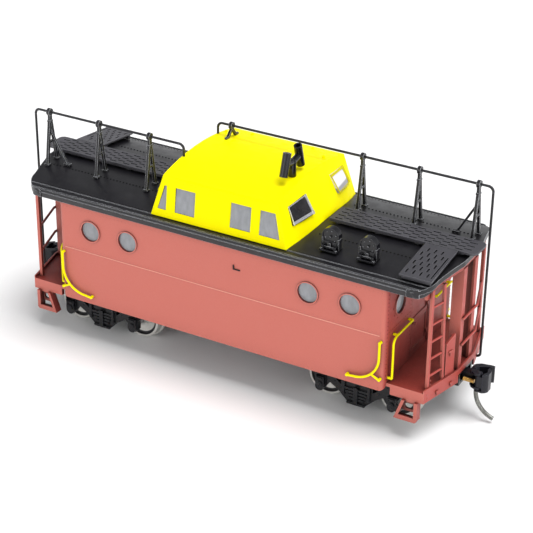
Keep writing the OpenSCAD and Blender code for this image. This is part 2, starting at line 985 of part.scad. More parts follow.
// Shouldered screws that hold the trucks and let them swivel.
module truck_screws() {
    color("silver")
        for (e = [0, 1])
            rotate(180 * e)
            translate([truck_x, 0, 0])
                difference() {
                    union() {
                        translate([0, 0, 5.7])
                            cylinder(h = 0.8, r = 2.3);
                        translate([0, 0, 6.4])
                            cylinder(h = 2.08, r = 1.44);
                        translate([0, 0, 8.4])
                            cylinder(h = 2.3, r = 1);
                    }
                    translate([0, 0, 5.7])
                        cube([3.4, 0.5, 0.7], center = true);
                }
}

// Pair of wheels on the axle at distance ax from the truck centre.
module wheels(e, ax) {
    color("silver")
        at_end(e)
            translate([truck_x + ax, 0, flange_r])
                for (s = [0, 1])
                    mirror([0, s, 0])
                        rotate([90, 0, 0])
                            rotate_extrude($fn = 96)
                                polygon([
                                    [1, 7.25], [3.7, 7.25], [5.1, 7.25], [flange_r, 7.5],
                                    [flange_r, 7.75], [tread_r + 0.1, 8.05], [tread_r, 8.3],
                                    [tread_r - 0.06, 9.95], [tread_r - 0.15, 10.05],
                                    [4.05, 10.05], [3.85, 9.5], [1.7, 9.2], [1.6, 10.2],
                                    [1, 10.2]
                                ]);
}

module axle(e, ax) {
    color("slategray")
        at_end(e)
            translate([truck_x + ax, 0, flange_r])
                rotate([90, 0, 0]) {
                    cylinder(h = 23.2, r = 0.98, center = true);
                    cylinder(h = 25.4, r = 0.5, center = true);
                }
}

// ---- couplers ----

// Draft gear box with its pivot post and lid.
module coupler_box(e) {
    color("dimgray")
        at_end(e)
            difference() {
                union() {
                    difference() {
                        translate([44, -3.5, 8])
                            cube([9.5, 7, slab_z - 0.02 - 8]);
                        translate([44.8, -2.8, 8.7])
                            cube([10, 5.6, 1.85]);
                    }
                    translate([coup_x, 0, 8.1])
                        cylinder(h = 3, r = 1.25);
                }
                translate([coup_x, 0, 7])
                    cylinder(h = 6, r = 0.75);
            }
}

// Screws that hold the draft gear boxes under the floor.
module coupler_screws() {
    color("silver")
        for (e = [0, 1])
            rotate(180 * e)
            translate([coup_x, 0, 0])
                difference() {
                    union() {
                        translate([0, 0, 7.3])
                            cylinder(h = 0.68, r = 1.5);
                        translate([0, 0, 7.9])
                            cylinder(h = 3.8, r = 0.7);
                    }
                    translate([0, 0, 7.3])
                        cube([2.4, 0.4, 0.6], center = true);
                }
}

// Shank, head, guard arm and knuckle pin.
module coupler_head(e) {
    color("dimgray")
        at_end(e)
            difference() {
                union() {
                    translate([coup_x, 0, 8.95])
                        cylinder(h = 1.5, r = 2.2);
                    translate([coup_x, -1.1, 8.95])
                        cube([7, 2.2, 1.5]);
                    // head block with its guard arm
                    translate([0, 0, 7.65])
                        linear_extrude(3.95)
                            polygon([
                                [55, -0.9], [55.7, -1.1], [56.2, -0.6], [56.4, 0.9], [57.2, 1.4],
                                [58.8, 1.95], [59.4, 2.3], [59.3, 2.75], [58.4, 2.75], [56.2, 2.3],
                                [55.3, 1.6], [55, 1]
                            ]);
                    // ears above and below the knuckle
                    for (z = [7.65, 11.1])
                        translate([0, 0, z])
                            linear_extrude(0.5) {
                                polygon([
                                    [55, -0.9], [55.7, -1.9], [56.6, -2.35], [57.3, -2.35],
                                    [57.3, -0.9], [56.3, -0.6], [56.2, 0.4], [55, 0.4]
                                ]);
                                translate([knuckle_x, knuckle_y])
                                    circle(r = 0.78);
                            }
                    translate([knuckle_x, knuckle_y, 7.7])
                        cylinder(h = 3.8, r = 0.34);
                }
                translate([coup_x, 0, 8])
                    cylinder(h = 4, r = 1.31);
            }
}

// Plan of the knuckle's boss and its link to the nose.
module knuckle_boss_2d() {
    translate([knuckle_x, knuckle_y])
        circle(r = 0.76);
    polygon([
        [57.3, -2.3], [58.5, -2.35], [58.8, -1.8], [58.6, -1.1], [57.3, -0.9]
    ]);
}

// Swinging knuckle: a round nose across the coupler's front, flat at its middle.
module knuckle(e) {
    color("dimgray")
        at_end(e)
            difference() {
                union() {
                    translate([0, 0, 8.3])
                        linear_extrude(2.65)
                            knuckle_boss_2d();
                    translate([0, 0, 7.1])
                        linear_extrude(0.4)
                            knuckle_boss_2d();
                    translate([0, 0, 7.1])
                        linear_extrude(4.5)
                            intersection() {
                                difference() {
                                    translate([57.55, -0.45])
                                        circle(r = 2.1);
                                    translate([57.55, -0.45])
                                        circle(r = 1.3);
                                }
                                polygon([
                                    [58.4, -3], [59.5, -3], [59.5, 1.25], [58.5, 1.25],
                                    [58.5, 0], [58.4, -1]
                                ]);
                            }
                }
                translate([knuckle_x, knuckle_y, 7.6])
                    cylinder(h = 8, r = 0.42);
            }
}

// Curved steel pin that hangs from the knuckle and bends forward over the track.
module trip_pin(e) {
    b = 6;
    color("silver")
        at_end(e)
            translate([56.9, knuckle_y, 0]) {
                translate([0, 0, 6.85])
                    cylinder(h = 0.23, r = 0.48, $fn = 32);
                translate([b, 0, 6.9])
                    rotate([90, 0, 0])
                        rotate([0, 0, 180])
                            rotate_extrude(angle = 75, $fn = 64)
                                translate([b, 0])
                                    circle(r = 0.49, $fn = 32);
            }
}

// Coil spring beside the shank that closes the knuckle.
module knuckle_spring(e) {
    color("goldenrod")
        at_end(e)
            translate([53.9, -1.85, 9.3])
                rotate([0, 90, 0])
                    cylinder(h = 2.5, r = 0.5);
}

body_shell();
underframe();
centre_frame();
brake_gear();
ballast_weight();
roof();
end_arch(0);  // end_arch_a
end_arch(1);  // end_arch_b
door(0);  // door_a
door(1);  // door_b
side_glazing();
end_glazing();
cupola_shell();
cupola_side_panes();
cupola_end_panes();
running_board(0);  // running_board_a
running_board(1);  // running_board_b
lateral_board(0);  // lateral_board_a
lateral_board(1);  // lateral_board_b
smoke_jack();
roof_drums();
antenna_rail(0);  // antenna_rail_a
antenna_rail(1);  // antenna_rail_b
antenna_posts(0);  // antenna_posts_a
antenna_posts(1);  // antenna_posts_b
ladder(0);  // ladder_a
ladder(1);  // ladder_b
end_posts(0);  // end_posts_a
end_posts(1);  // end_posts_b
end_railing(0);  // end_railing_a
end_railing(1);  // end_railing_b
gate_plate(0);  // gate_plate_a
gate_plate(1);  // gate_plate_b
steps(0);  // steps_a
steps(1);  // steps_b
side_grabs();
end_grabs(0);  // end_grabs_a
end_grabs(1);  // end_grabs_b
truck_frame(0);  // truck_frame_a
truck_frame(1);  // truck_frame_b
truck_screws();
wheels(0, axle_x);  // wheels_a1
wheels(0, -axle_x);  // wheels_a2
wheels(1, axle_x);  // wheels_b1
wheels(1, -axle_x);  // wheels_b2
axle(0, axle_x);  // axle_a1
axle(0, -axle_x);  // axle_a2
axle(1, axle_x);  // axle_b1
axle(1, -axle_x);  // axle_b2
coupler_box(0);  // coupler_box_a
coupler_box(1);  // coupler_box_b
coupler_screws();
coupler_head(0);  // coupler_head_a
coupler_head(1);  // coupler_head_b
knuckle(0);  // knuckle_a
knuckle(1);  // knuckle_b
trip_pin(0);  // trip_pin_a
trip_pin(1);  // trip_pin_b
knuckle_spring(0);  // knuckle_spring_a
knuckle_spring(1);  // knuckle_spring_b
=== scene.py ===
"""Looks of the model caboose: materials, fine detail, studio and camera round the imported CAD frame.

Lengths in the geometry helpers are millimetres in the frame of the CAD model. X runs along the car,
the long side that the camera sees faces -Y, and Z is up. End b is end a turned half a turn about Z.
"""
import json
import math

import bmesh
import bpy
from mathutils import Matrix, Vector
from mathutils.bvhtree import BVHTree


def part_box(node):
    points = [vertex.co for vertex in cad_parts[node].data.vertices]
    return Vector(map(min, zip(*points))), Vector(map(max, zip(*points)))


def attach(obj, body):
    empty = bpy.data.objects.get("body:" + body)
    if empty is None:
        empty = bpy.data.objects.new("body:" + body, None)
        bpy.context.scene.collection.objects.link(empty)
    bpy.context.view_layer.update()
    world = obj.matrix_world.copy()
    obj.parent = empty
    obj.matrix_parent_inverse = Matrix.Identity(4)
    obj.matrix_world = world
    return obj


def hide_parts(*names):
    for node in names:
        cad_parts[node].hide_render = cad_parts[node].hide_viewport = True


MM = 0.001
HALF_TURN = Matrix.Rotation(math.pi, 4, "Z")
ENDS = {"a": Matrix.Identity(4), "b": HALF_TURN}
ACROSS = Matrix.Scale(-1, 4, (0, 1, 0))
ALONG = Matrix.Scale(-1, 4, (1, 0, 0))

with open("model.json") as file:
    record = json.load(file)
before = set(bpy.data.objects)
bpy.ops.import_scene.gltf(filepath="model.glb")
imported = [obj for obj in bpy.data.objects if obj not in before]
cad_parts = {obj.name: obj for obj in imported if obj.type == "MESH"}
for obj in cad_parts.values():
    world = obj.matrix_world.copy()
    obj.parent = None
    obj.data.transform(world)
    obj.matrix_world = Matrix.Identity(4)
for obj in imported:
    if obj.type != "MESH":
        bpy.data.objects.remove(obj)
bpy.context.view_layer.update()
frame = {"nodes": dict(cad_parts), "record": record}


# ---- reading the frame ----

def low(node):
    """Lowest corner of a CAD node in millimetres."""
    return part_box(node)[0] / MM


def high(node):
    """Highest corner of a CAD node in millimetres."""
    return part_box(node)[1] / MM


def middle(node):
    """Middle of a CAD node's box in millimetres."""
    return (low(node) + high(node)) / 2


class Skin:
    """The surface of a CAD node, for putting small pieces on it."""

    def __init__(self, node):
        mesh = frame["nodes"][node].data
        corners = [v.co / MM for v in mesh.vertices]
        self.tree = BVHTree.FromPolygons(corners, [p.vertices for p in mesh.polygons])

    def hit(self, start, towards):
        """Point and outward normal where a ray from start first meets the surface."""
        towards = Vector(towards).normalized()
        point, normal, _, _ = self.tree.ray_cast(Vector(start), towards)
        if point is not None and normal.dot(towards) > 0:
            normal = -normal
        return point, normal


# Places that the materials and the details share, all at end a or on its half of the car.
TRUCK_X = middle("truck_frame_a").x
AXLE_REACH = middle("axle_a1").x - TRUCK_X
AXLE_Z = middle("axle_a1").z
SIDE_RELIEF = 0.25
SIDE_Y = high("body_shell").y - SIDE_RELIEF
DOOR_X = high("door_a").x
WALL_X = DOOR_X + 0.2
BELT_Z = 23.6
PORT_Z = 29.2
ROOF_RADIUS = 70.8

# Rivet sizes: radius, and height over the surface.
SIDE_RIVET = (0.11, 0.05)
FINE_RIVET = (0.13, 0.08)
WINDOW_RIVET = (0.15, 0.09)
ROOF_RIVET = (0.2, 0.16)


# ---- mesh helpers, all in millimetres ----

def box(bm, lo, hi, soft=0.0):
    """Block between two corners, with its edges rounded by soft."""
    lo, hi = Vector(lo), Vector(hi)
    verts = bmesh.ops.create_cube(bm, size=1.0)["verts"]
    bmesh.ops.scale(bm, vec=hi - lo, verts=verts)
    bmesh.ops.translate(bm, vec=(lo + hi) / 2, verts=verts)
    if soft:
        edges = list({e for v in verts for e in v.link_edges})
        bmesh.ops.bevel(bm, geom=edges, offset=soft, segments=2, profile=0.5, affect="EDGES")


def rings_to_faces(bm, rings):
    """Skins a list of vertex rings, with caps on both ends."""
    for first, second in zip(rings, rings[1:]):
        count = len(first)
        for i in range(count):
            j = (i + 1) % count
            bm.faces.new((first[i], first[j], second[j], second[i]))
    bm.faces.new(rings[0][::-1])
    bm.faces.new(rings[-1])


def tube(bm, path, radius, sides):
    """Round bar swept along a list of points."""
    path = [Vector(p) for p in path]
    rings = []
    side = None
    for i, p in enumerate(path):
        before = path[max(i - 1, 0)]
        after = path[min(i + 1, len(path) - 1)]
        ahead = (after - before).normalized()
        if side is None:
            side = ahead.cross(Vector((0, 0, 1)))
            if side.length < 0.1:
                side = ahead.cross(Vector((0, 1, 0)))
        side = (side - ahead * side.dot(ahead)).normalized()
        other = ahead.cross(side)
        ring = []
        for k in range(sides):
            turn = 2 * math.pi * k / sides
            ring.append(bm.verts.new(
                p + side * radius * math.cos(turn) + other * radius * math.sin(turn)))
        rings.append(ring)
    rings_to_faces(bm, rings)


def lathe(bm, profile, origin, axis, sides=32):
    """Turned shape: profile is a list of (radius, distance along the axis)."""
    axis = Vector(axis).normalized()
    side = axis.orthogonal().normalized()
    other = axis.cross(side)
    rings = []
    for radius, along in profile:
        radius = max(radius, 0.004)
        rings.append([
            bm.verts.new(
                Vector(origin) + axis * along
                + side * radius * math.cos(2 * math.pi * k / sides)
                + other * radius * math.sin(2 * math.pi * k / sides))
            for k in range(sides)
        ])
    rings_to_faces(bm, rings)


def dome(bm, at, normal, radius, height):
    """Rivet head with its foot a little under the surface."""
    lathe(bm, [(radius, -0.04), (radius, height * 0.3), (radius * 0.72, height * 0.8), (0, height)],
          at, normal, sides=8)


def rivet_row(bm, skin, start, end, pitch, towards, size):
    """Rivets at even pitch between two points, dropped on a surface along towards."""
    start, end = Vector(start), Vector(end)
    count = max(1, round((end - start).length / pitch))
    for i in range(count + 1):
        point, normal = skin.hit(start.lerp(end, i / count), towards)
        if point is not None:
            dome(bm, point, normal, *size)


def piece(name, body, material, bm, place=None, sharp=35):
    """Turns gathered geometry into an object that rides on a CAD body."""
    if place is not None:
        bm.transform(place)
    bm.transform(Matrix.Scale(MM, 4))
    bmesh.ops.recalc_face_normals(bm, faces=bm.faces)
    mesh = bpy.data.meshes.new(name)
    bm.to_mesh(mesh)
    bm.free()
    mesh.polygons.foreach_set("use_smooth", [True] * len(mesh.polygons))
    mesh.set_sharp_from_angle(angle=math.radians(sharp))
    obj = bpy.data.objects.new(name, mesh)
    bpy.context.scene.collection.objects.link(obj)
    obj.data.materials.append(material)
    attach(obj, body)
    return obj


# ---- materials ----

class Shader:
    """A small builder for one node material."""

    def __init__(self, name):
        self.material = bpy.data.materials.new(name)
        self.material.use_nodes = True
        self.tree = self.material.node_tree
        self.tree.nodes.clear()
        self.surface = self.tree.nodes.new("ShaderNodeBsdfPrincipled")
        output = self.tree.nodes.new("ShaderNodeOutputMaterial")
        self.tree.links.new(self.surface.outputs[0], output.inputs["Surface"])
        self.coords = self.add("TexCoord").outputs["Object"]

    def add(self, kind, inputs=None, **settings):
        """A node with its settings, and its inputs as numbers or as sockets to link."""
        made = self.tree.nodes.new("ShaderNode" + kind)
        for key, value in settings.items():
            setattr(made, key, value)
        for key, value in (inputs or {}).items():
            self.put(made.inputs[key], value)
        return made

    def put(self, socket, value):
        if isinstance(value, bpy.types.NodeSocket):
            self.tree.links.new(value, socket)
        else:
            socket.default_value = value

    def noise(self, size_mm, detail=2.0, stretch=(1, 1, 1)):
        """Noise whose features are about size_mm across."""
        scaled = self.add("Mapping", {"Vector": self.coords, "Scale": stretch})
        return self.add("TexNoise", {
            "Vector": scaled.outputs[0], "Scale": 1 / (size_mm * MM), "Detail": detail,
        }).outputs["Fac"]

    def ramp(self, value, low_in, high_in, low_out=0.0, high_out=1.0):
        return self.add("MapRange", {
            "Value": value, "From Min": low_in, "From Max": high_in,
            "To Min": low_out, "To Max": high_out,
        }).outputs["Result"]

    def mix(self, factor, first, second):
        return self.add("MixRGB", {"Fac": factor, "Color1": first, "Color2": second}).outputs[0]

    def maths(self, operation, first, second=0.0):
        return self.add("Math", {0: first, 1: second}, operation=operation).outputs[0]

    def edges(self, radius_mm):
        """Rounded normal near edges, and a mask that is 1 on them."""
        soft = self.add("Bevel", {"Radius": radius_mm * MM}, samples=6).outputs["Normal"]
        flat = self.add("NewGeometry").outputs["Normal"]
        turn = self.add("VectorMath", {0: soft, 1: flat}, operation="DOT_PRODUCT").outputs["Value"]
        return soft, self.ramp(turn, 0.995, 0.82)

    def bump(self, height, depth_mm, normal):
        return self.add("Bump", {
            "Height": height, "Distance": depth_mm * MM, "Strength": 1.0, "Normal": normal,
        }).outputs[0]

    def surfaces(self, **values):
        names = {
            "colour": "Base Color", "rough": "Roughness", "metal": "Metallic", "normal": "Normal",
            "specular": "Specular IOR Level", "coat": "Coat Weight", "coat_rough": "Coat Roughness",
            "through": "Transmission Weight", "ior": "IOR", "alpha": "Alpha",
        }
        for key, value in values.items():
            self.put(self.surface.inputs[names[key]], value)
        return self.material


def rgb(red, green, blue):
    return (red, green, blue, 1.0)


def scaled(colour, factor):
    return tuple(min(1.0, c * factor) for c in colour[:3]) + (1.0,)


def moulded(name, colour, rough, mottle=0.05, grain_mm=0.16, grain_depth=0.012, edge_mm=0.12,
            edge_highlight_colour=None, edge_highlight_mix=0.6, specular=0.5, dusty=0.0, inside=None, side_sheen=None,
            shade=None):
    """Painted or self-coloured plastic: cloudy colour, fine spray grain, and softened edges painted
    lighter as a painted highlight.

    Faces turned to the car's long sides take a lighter colour, a painted sheen for the light on those
    sides, where one is given. Shade darkens corners and gaps within its first number of millimetres,
    down to its second as a fraction, as painted shade.
    """
    s = Shader(name)
    soft, edge_highlight_mask = s.edges(edge_mm)
    cloud = s.noise(7, 3)
    speckle = s.noise(grain_mm * 1.6, 1)
    base = s.mix(s.ramp(cloud, 0.3, 0.7), scaled(colour, 1 - mottle), scaled(colour, 1 + mottle))
    if side_sheen:
        facing = s.add("SeparateXYZ", {0: s.add("TexCoord").outputs["Normal"]}).outputs["Y"]
        # Painted sheen: faces turned to the long sides take a lighter colour for the light on them.
        base = s.mix(s.ramp(s.maths("ABSOLUTE", facing), 0.6, 0.85), base, side_sheen)
    base = s.mix(s.ramp(speckle, 0.35, 0.65, 0.0, 0.1), base, scaled(colour, 1.25))
    # Painted highlight: edges take a lighter colour.
    base = s.mix(s.maths("MULTIPLY", edge_highlight_mask, edge_highlight_mix), base, edge_highlight_colour or scaled(colour, 1.25))
    if shade:
        reach_mm, darkest = shade
        hollow = s.add("AmbientOcclusion", {"Distance": reach_mm * MM}, samples=4).outputs["AO"]
        base = s.mix(s.ramp(hollow, 0.25, 0.9, 1.0, 0.0), base, scaled(colour, darkest))
    if dusty:
        film = s.ramp(s.noise(3.5, 4), 0.5, 0.72, 0.0, dusty)
        base = s.mix(film, base, rgb(0.45, 0.44, 0.43))
    if inside is not None:
        base = s.mix(inside(s), base, rgb(0.012, 0.012, 0.014))
    gloss = s.ramp(s.noise(2.2, 3), 0.3, 0.7, rough - 0.05, rough + 0.07)
    grain = s.bump(s.noise(grain_mm, 2), grain_depth, soft)
    return s.surfaces(colour=base, rough=gloss, normal=grain, specular=specular)


def metal(name, colour, rough, grain_mm=0.3, stretch=(1, 1, 1), depth=0.01, tint=0.12):
    """Bare or blackened metal with fine drawn or cast marks, and a lighter painted highlight along
    its edges.
    """
    s = Shader(name)
    soft, edge_highlight_mask = s.edges(0.08)
    marks = s.noise(grain_mm, 3, stretch)
    base = s.mix(s.ramp(marks, 0.3, 0.7), scaled(colour, 1 - tint), scaled(colour, 1 + tint))
    # Painted highlight: edges take a lighter colour.
    base = s.mix(s.maths("MULTIPLY", edge_highlight_mask, 0.5), base, scaled(colour, 1.35))
    gloss = s.ramp(s.noise(1.4, 3), 0.3, 0.7, rough - 0.06, rough + 0.1)
    return s.surfaces(colour=base, rough=gloss, metal=1.0, normal=s.bump(marks, depth, soft))


def facing_inwards(centre):
    """Mask maker: 1 on faces that look towards a point in millimetres, as a shell's inside does."""
    def mask(s):
        middle = tuple(c * MM for c in centre)
        away = s.add("VectorMath", {0: s.coords, 1: middle}, operation="SUBTRACT").outputs["Vector"]
        flat = s.add("NewGeometry").outputs["True Normal"]
        out = s.add("VectorMath", {0: away, 1: flat}, operation="DOT_PRODUCT").outputs["Value"]
        return s.maths("LESS_THAN", out, 0.0)
    return mask


def glazing(name, colour, rough, through):
    """Clear or grey moulded glazing with faint flow lines and scratches."""
    s = Shader(name)
    soft, _ = s.edges(0.05)
    flow = s.noise(1.1, 3, (1, 1, 0.45))
    base = s.mix(s.ramp(flow, 0.3, 0.7), scaled(colour, 0.88), scaled(colour, 1.1))
    gloss = s.ramp(s.noise(0.5, 3), 0.35, 0.7, rough, rough + 0.12)
    return s.surfaces(colour=base, rough=gloss, through=through, ior=1.49,
                      normal=s.bump(flow, 0.012, soft))


def end_glass(name):
    """Cupola end panes: dark over the unlit inside, bright where a far side window lies behind."""
    s = Shader(name)
    soft, _ = s.edges(0.05)
    flow = s.noise(1.3, 3)
    place = s.add("SeparateXYZ", {0: s.coords}).outputs
    far = s.maths("GREATER_THAN", s.maths("MULTIPLY", place["Y"], place["X"]), 0.0)
    dark = s.mix(s.ramp(flow, 0.3, 0.7), rgb(0.006, 0.006, 0.008), rgb(0.02, 0.018, 0.02))
    over_sill = s.ramp(place["Z"], 42.9 * MM, 43.2 * MM)
    light = s.mix(over_sill, rgb(0.36, 0.35, 0.38), rgb(0.9, 0.88, 0.9))
    gloss = s.ramp(s.noise(0.5, 3), 0.35, 0.7, 0.12, 0.24)
    return s.surfaces(colour=s.mix(far, dark, light), rough=gloss, specular=0.4,
                      normal=s.bump(flow, 0.01, soft))


def wheel_metal(name, centre_x, reach, axle_z):
    """Turned wheel: bright face and tread, with a black ring inside the rim that is painted shade of
    the gap there.

    Every wheel centre is at height axle_z, and at reach from a truck centre, which is at centre_x
    or -centre_x.
    """
    s = Shader(name)
    soft, _ = s.edges(0.06)
    steel = rgb(0.66, 0.65, 0.61)
    turned = s.noise(0.35, 3)
    base = s.mix(turned, scaled(steel, 0.85), scaled(steel, 1.1))
    place = s.add("SeparateXYZ", {0: s.coords}).outputs
    from_truck = s.maths("SUBTRACT", s.maths("ABSOLUTE", place["X"]), centre_x * MM)
    from_axle = s.maths("SUBTRACT", s.maths("ABSOLUTE", from_truck), reach * MM)
    above = s.maths("SUBTRACT", place["Z"], axle_z * MM)
    squares = s.maths("ADD", s.maths("POWER", from_axle, 2.0), s.maths("POWER", above, 2.0))
    radius = s.maths("SQRT", squares)
    outside = s.ramp(radius, 3.45 * MM, 3.55 * MM)
    inside = s.ramp(radius, 4.2 * MM, 4.1 * MM)
    ring = s.maths("MULTIPLY", outside, inside)
    # Painted shade: a black, unshining ring inside the rim stands for the shadowed gap there.
    base = s.mix(ring, base, rgb(0.01, 0.01, 0.012))
    gloss = s.ramp(turned, 0.3, 0.7, 0.3, 0.42)
    shine = s.maths("MULTIPLY", s.maths("SUBTRACT", 1.0, ring), 0.55)
    return s.surfaces(colour=base, rough=gloss, metal=shine, normal=s.bump(turned, 0.006, soft))


# Edge colours given to the materials below are painted highlights along their edges, and the lighter
# side red is a painted sheen.
RED = rgb(0.43, 0.062, 0.047)
# A lighter red for faces turned to the long sides: a painted sheen of the light on them.
SIDE_SHEEN_RED = rgb(0.57, 0.145, 0.108)
# Light red for painted highlights: on the red paint's edges and on the belt strip.
HIGHLIGHT_RED = rgb(0.76, 0.32, 0.25)
YELLOW = rgb(1.0, 0.88, 0.0)
CUPOLA_CENTRE = (0, 0, 42)

red_paint = moulded("red_paint", RED, 0.45, mottle=0.05, edge_mm=0.14, edge_highlight_colour=HIGHLIGHT_RED,
                    side_sheen=SIDE_SHEEN_RED, shade=(14, 0.12))
belt_highlight_red = moulded("belt_highlight_red", HIGHLIGHT_RED, 0.5, mottle=0.03)
# The roof's near-white edge colour is a painted highlight along its edges and eave lips.
black_roof = moulded("roof_black", rgb(0.006, 0.0055, 0.008), 0.33, mottle=0.15, edge_mm=0.12,
                     edge_highlight_colour=rgb(0.9, 0.92, 0.97), edge_highlight_mix=0.9, specular=0.5, dusty=0.01,
                     shade=(3, 0.2))
board_grey = moulded("board_grey", rgb(0.048, 0.046, 0.055), 0.45, mottle=0.15, edge_mm=0.1,
                     edge_highlight_colour=rgb(0.3, 0.3, 0.33), edge_highlight_mix=0.7, shade=(1.2, 0.05))
# A dark red for rivets, painted shade so that they read as dark dots.
shaded_rivet_red = moulded("shaded_rivet_red", rgb(0.17, 0.02, 0.016), 0.5, mottle=0.2, specular=0.3)
gloss_black = moulded("gloss_black", rgb(0.004, 0.004, 0.006), 0.2, mottle=0.15, edge_mm=0.1,
                      edge_highlight_colour=rgb(0.05, 0.05, 0.065), shade=(2, 0.3))
# Nearly black and a little darker than the roof, painted shade so that the roof rivets read as dark
# dots.
shaded_rivet_black = moulded("shaded_rivet_black", rgb(0.004, 0.004, 0.005), 0.5, mottle=0.2, specular=0.2)
black_plastic = moulded("truck_black", rgb(0.003, 0.0032, 0.0045), 0.28, mottle=0.15,
                        edge_highlight_colour=rgb(0.07, 0.075, 0.1), specular=0.35, shade=(3, 0.2))
yellow_paint = moulded("cupola_yellow", YELLOW, 0.5, mottle=0.02, specular=0.04,
                       inside=facing_inwards(CUPOLA_CENTRE))
yellow_trim = moulded("trim_yellow", YELLOW, 0.5, mottle=0.03, specular=0.04)
# A darker copy of the yellow, as painted shade on the reveals of the +Y cupola windows.
shaded_reveal_yellow = moulded("shaded_reveal_yellow", rgb(0.62, 0.55, 0.01), 0.5, mottle=0.05, specular=0.04)
yellow_wire = moulded("grab_yellow", YELLOW, 0.42, mottle=0.03, edge_mm=0.05, grain_depth=0.006,
                      specular=0.15)
window_grey = glazing("window_grey", rgb(0.33, 0.34, 0.36), 0.14, 0.15)
cast_metal = metal("ballast_iron", rgb(0.2, 0.2, 0.21), 0.5, 0.5, depth=0.03)
screw_steel = metal("screw_steel", rgb(0.55, 0.55, 0.56), 0.28)
axle_steel = metal("axle_steel", rgb(0.3, 0.3, 0.31), 0.35, 0.3, (1, 8, 1))
coupler_black = moulded("coupler_black", rgb(0.004, 0.004, 0.008), 0.32, mottle=0.15,
                        edge_highlight_colour=rgb(0.06, 0.06, 0.1), grain_depth=0.02, specular=0.4,
                        shade=(2, 0.2))
pin_steel = metal("pin_steel", rgb(0.2, 0.2, 0.185), 0.3, 0.25, (1, 1, 0.3), tint=0.5)
spring_bronze = metal("spring_bronze", rgb(0.72, 0.44, 0.12), 0.25, 0.2)
frame_silver = metal("frame_silver", rgb(0.72, 0.72, 0.74), 0.32, 0.3)
wheel_steel = wheel_metal("wheel_steel", TRUCK_X, AXLE_REACH, AXLE_Z)

BY_SLOT = {
    "red_body": red_paint, "black_roof": black_roof, "black_plastic": black_plastic,
    "yellow_shell": yellow_paint, "yellow_wire": yellow_wire, "glazing": window_grey,
    "ballast": cast_metal, "screw_steel": screw_steel, "wheel_metal": wheel_steel,
    "axle_metal": axle_steel, "coupler_metal": coupler_black, "pin_steel": pin_steel,
    "spring_bronze": spring_bronze,
}
BY_NODE = {
    "cupola_end_panes": end_glass("cupola_glass"), "smoke_jack": gloss_black,
    "roof_drums": gloss_black, "running_board_a": board_grey, "running_board_b": board_grey,
    "lateral_board_a": board_grey, "lateral_board_b": board_grey,
}


def dress_cad_nodes():
    """Gives every CAD node the material of its slot, or its own."""
    for part in frame["record"]["subparts"]:
        node = part["node"]
        mesh = frame["nodes"][node].data
        mesh.materials.clear()
        mesh.materials.append(BY_NODE.get(node, BY_SLOT[part["material_slot"]]))


# ---- body details ----

def side_details():
    """Belt strip, rivet rows and a small bracket on both long sides; the belt strip's lighter red is
    a painted highlight and the bracket's black is painted shade.
    """
    skin = Skin("body_shell")
    strips, rivets, shaded_brackets = bmesh.new(), bmesh.new(), bmesh.new()
    belt_end, row_end, clear_y = 40.5, 40.6, 19
    bracket_x, bracket_z = 4.6, 29.85
    for s in (-1, 1):
        y = s * SIDE_Y
        near, far = sorted((y - s * 0.1, y + s * 0.08))
        box(strips, (-belt_end, near, BELT_Z - 0.1), (belt_end, far, BELT_Z + 0.1), 0.04)
        for z in (BELT_Z + 0.62, 10.85, 33.9):
            start, end = (-row_end, s * clear_y, z), (row_end, s * clear_y, z)
            rivet_row(rivets, skin, start, end, 1.0, (0, -s, 0), SIDE_RIVET)
        near, far = sorted((y - s * 0.1, y + s * 0.22))
        for right, top in ((0.25, 1.1), (1.8, 0.23)):
            corner = (bracket_x + right, far, bracket_z + top)
            box(shaded_brackets, (bracket_x, near, bracket_z), corner, 0.05)
    # The belt strip's lighter red is a painted highlight, for the light its raised edge catches.
    piece("side_belts", "car", belt_highlight_red, strips)
    piece("side_rivets", "car", red_paint, rivets)
    # The bracket is black as painted shade, for the shadow it throws on the red side.
    piece("side_brackets_shaded", "car", black_plastic, shaded_brackets)


def end_wall_details(end):
    """Rivets round the end windows, up the walls and across them, and the door's fittings."""
    skin = Skin("body_shell")
    rivets, fittings = bmesh.new(), bmesh.new()
    x = WALL_X + 3
    window_y, ring_radius, ring_count = 11, 3.35, 10
    pitch, inwards = 0.95, (-1, 0, 0)
    for s in (-1, 1):
        for i in range(ring_count):
            turn = 2 * math.pi * i / ring_count
            y = s * window_y + ring_radius * math.cos(turn)
            at = (x, y, PORT_Z + ring_radius * math.sin(turn))
            rivet_row(rivets, skin, at, at, 1, inwards, WINDOW_RIVET)
        for y in (5.3, 16.4):
            rivet_row(rivets, skin, (x, s * y, 12.9), (x, s * y, 34.4), pitch, inwards, FINE_RIVET)
        for z in (34.2, 24.3):
            rivet_row(rivets, skin, (x, s * 6, z), (x, s * 16, z), pitch, inwards, FINE_RIVET)
    for z in (14.6, 21.6, 28.8):
        box(fittings, (DOOR_X - 0.05, 3.6, z), (DOOR_X + 0.3, 4.4, z + 0.9), 0.08)
    knob = [(0.3, -0.05), (0.3, 0.3), (0.18, 0.4), (0.18, 0.55), (0.36, 0.7), (0.3, 0.95), (0, 1)]
    lathe(fittings, knob, (DOOR_X, -3.7, 20.6), (1, 0, 0), 16)
    for s in (-1, 1):
        y = s * 4.25
        box(fittings, (DOOR_X - 0.05, y - 0.12, 12.6), (DOOR_X + 0.16, y + 0.12, 31), 0.04)
    # The rivets take a dark red, painted shade that makes them read as dark dots.
    piece(f"end_wall_rivets_{end}", "car", shaded_rivet_red, rivets, ENDS[end])
    piece(f"door_fittings_{end}", "car", red_paint, fittings, ENDS[end])


# Outer corner of the slanted end sill, and its slant.
SILL_CORNER = Vector((50.9, -16.2, 0))
SILL_TURN = Matrix.Rotation(-math.atan2(2.7, 11.7), 4, "Z")


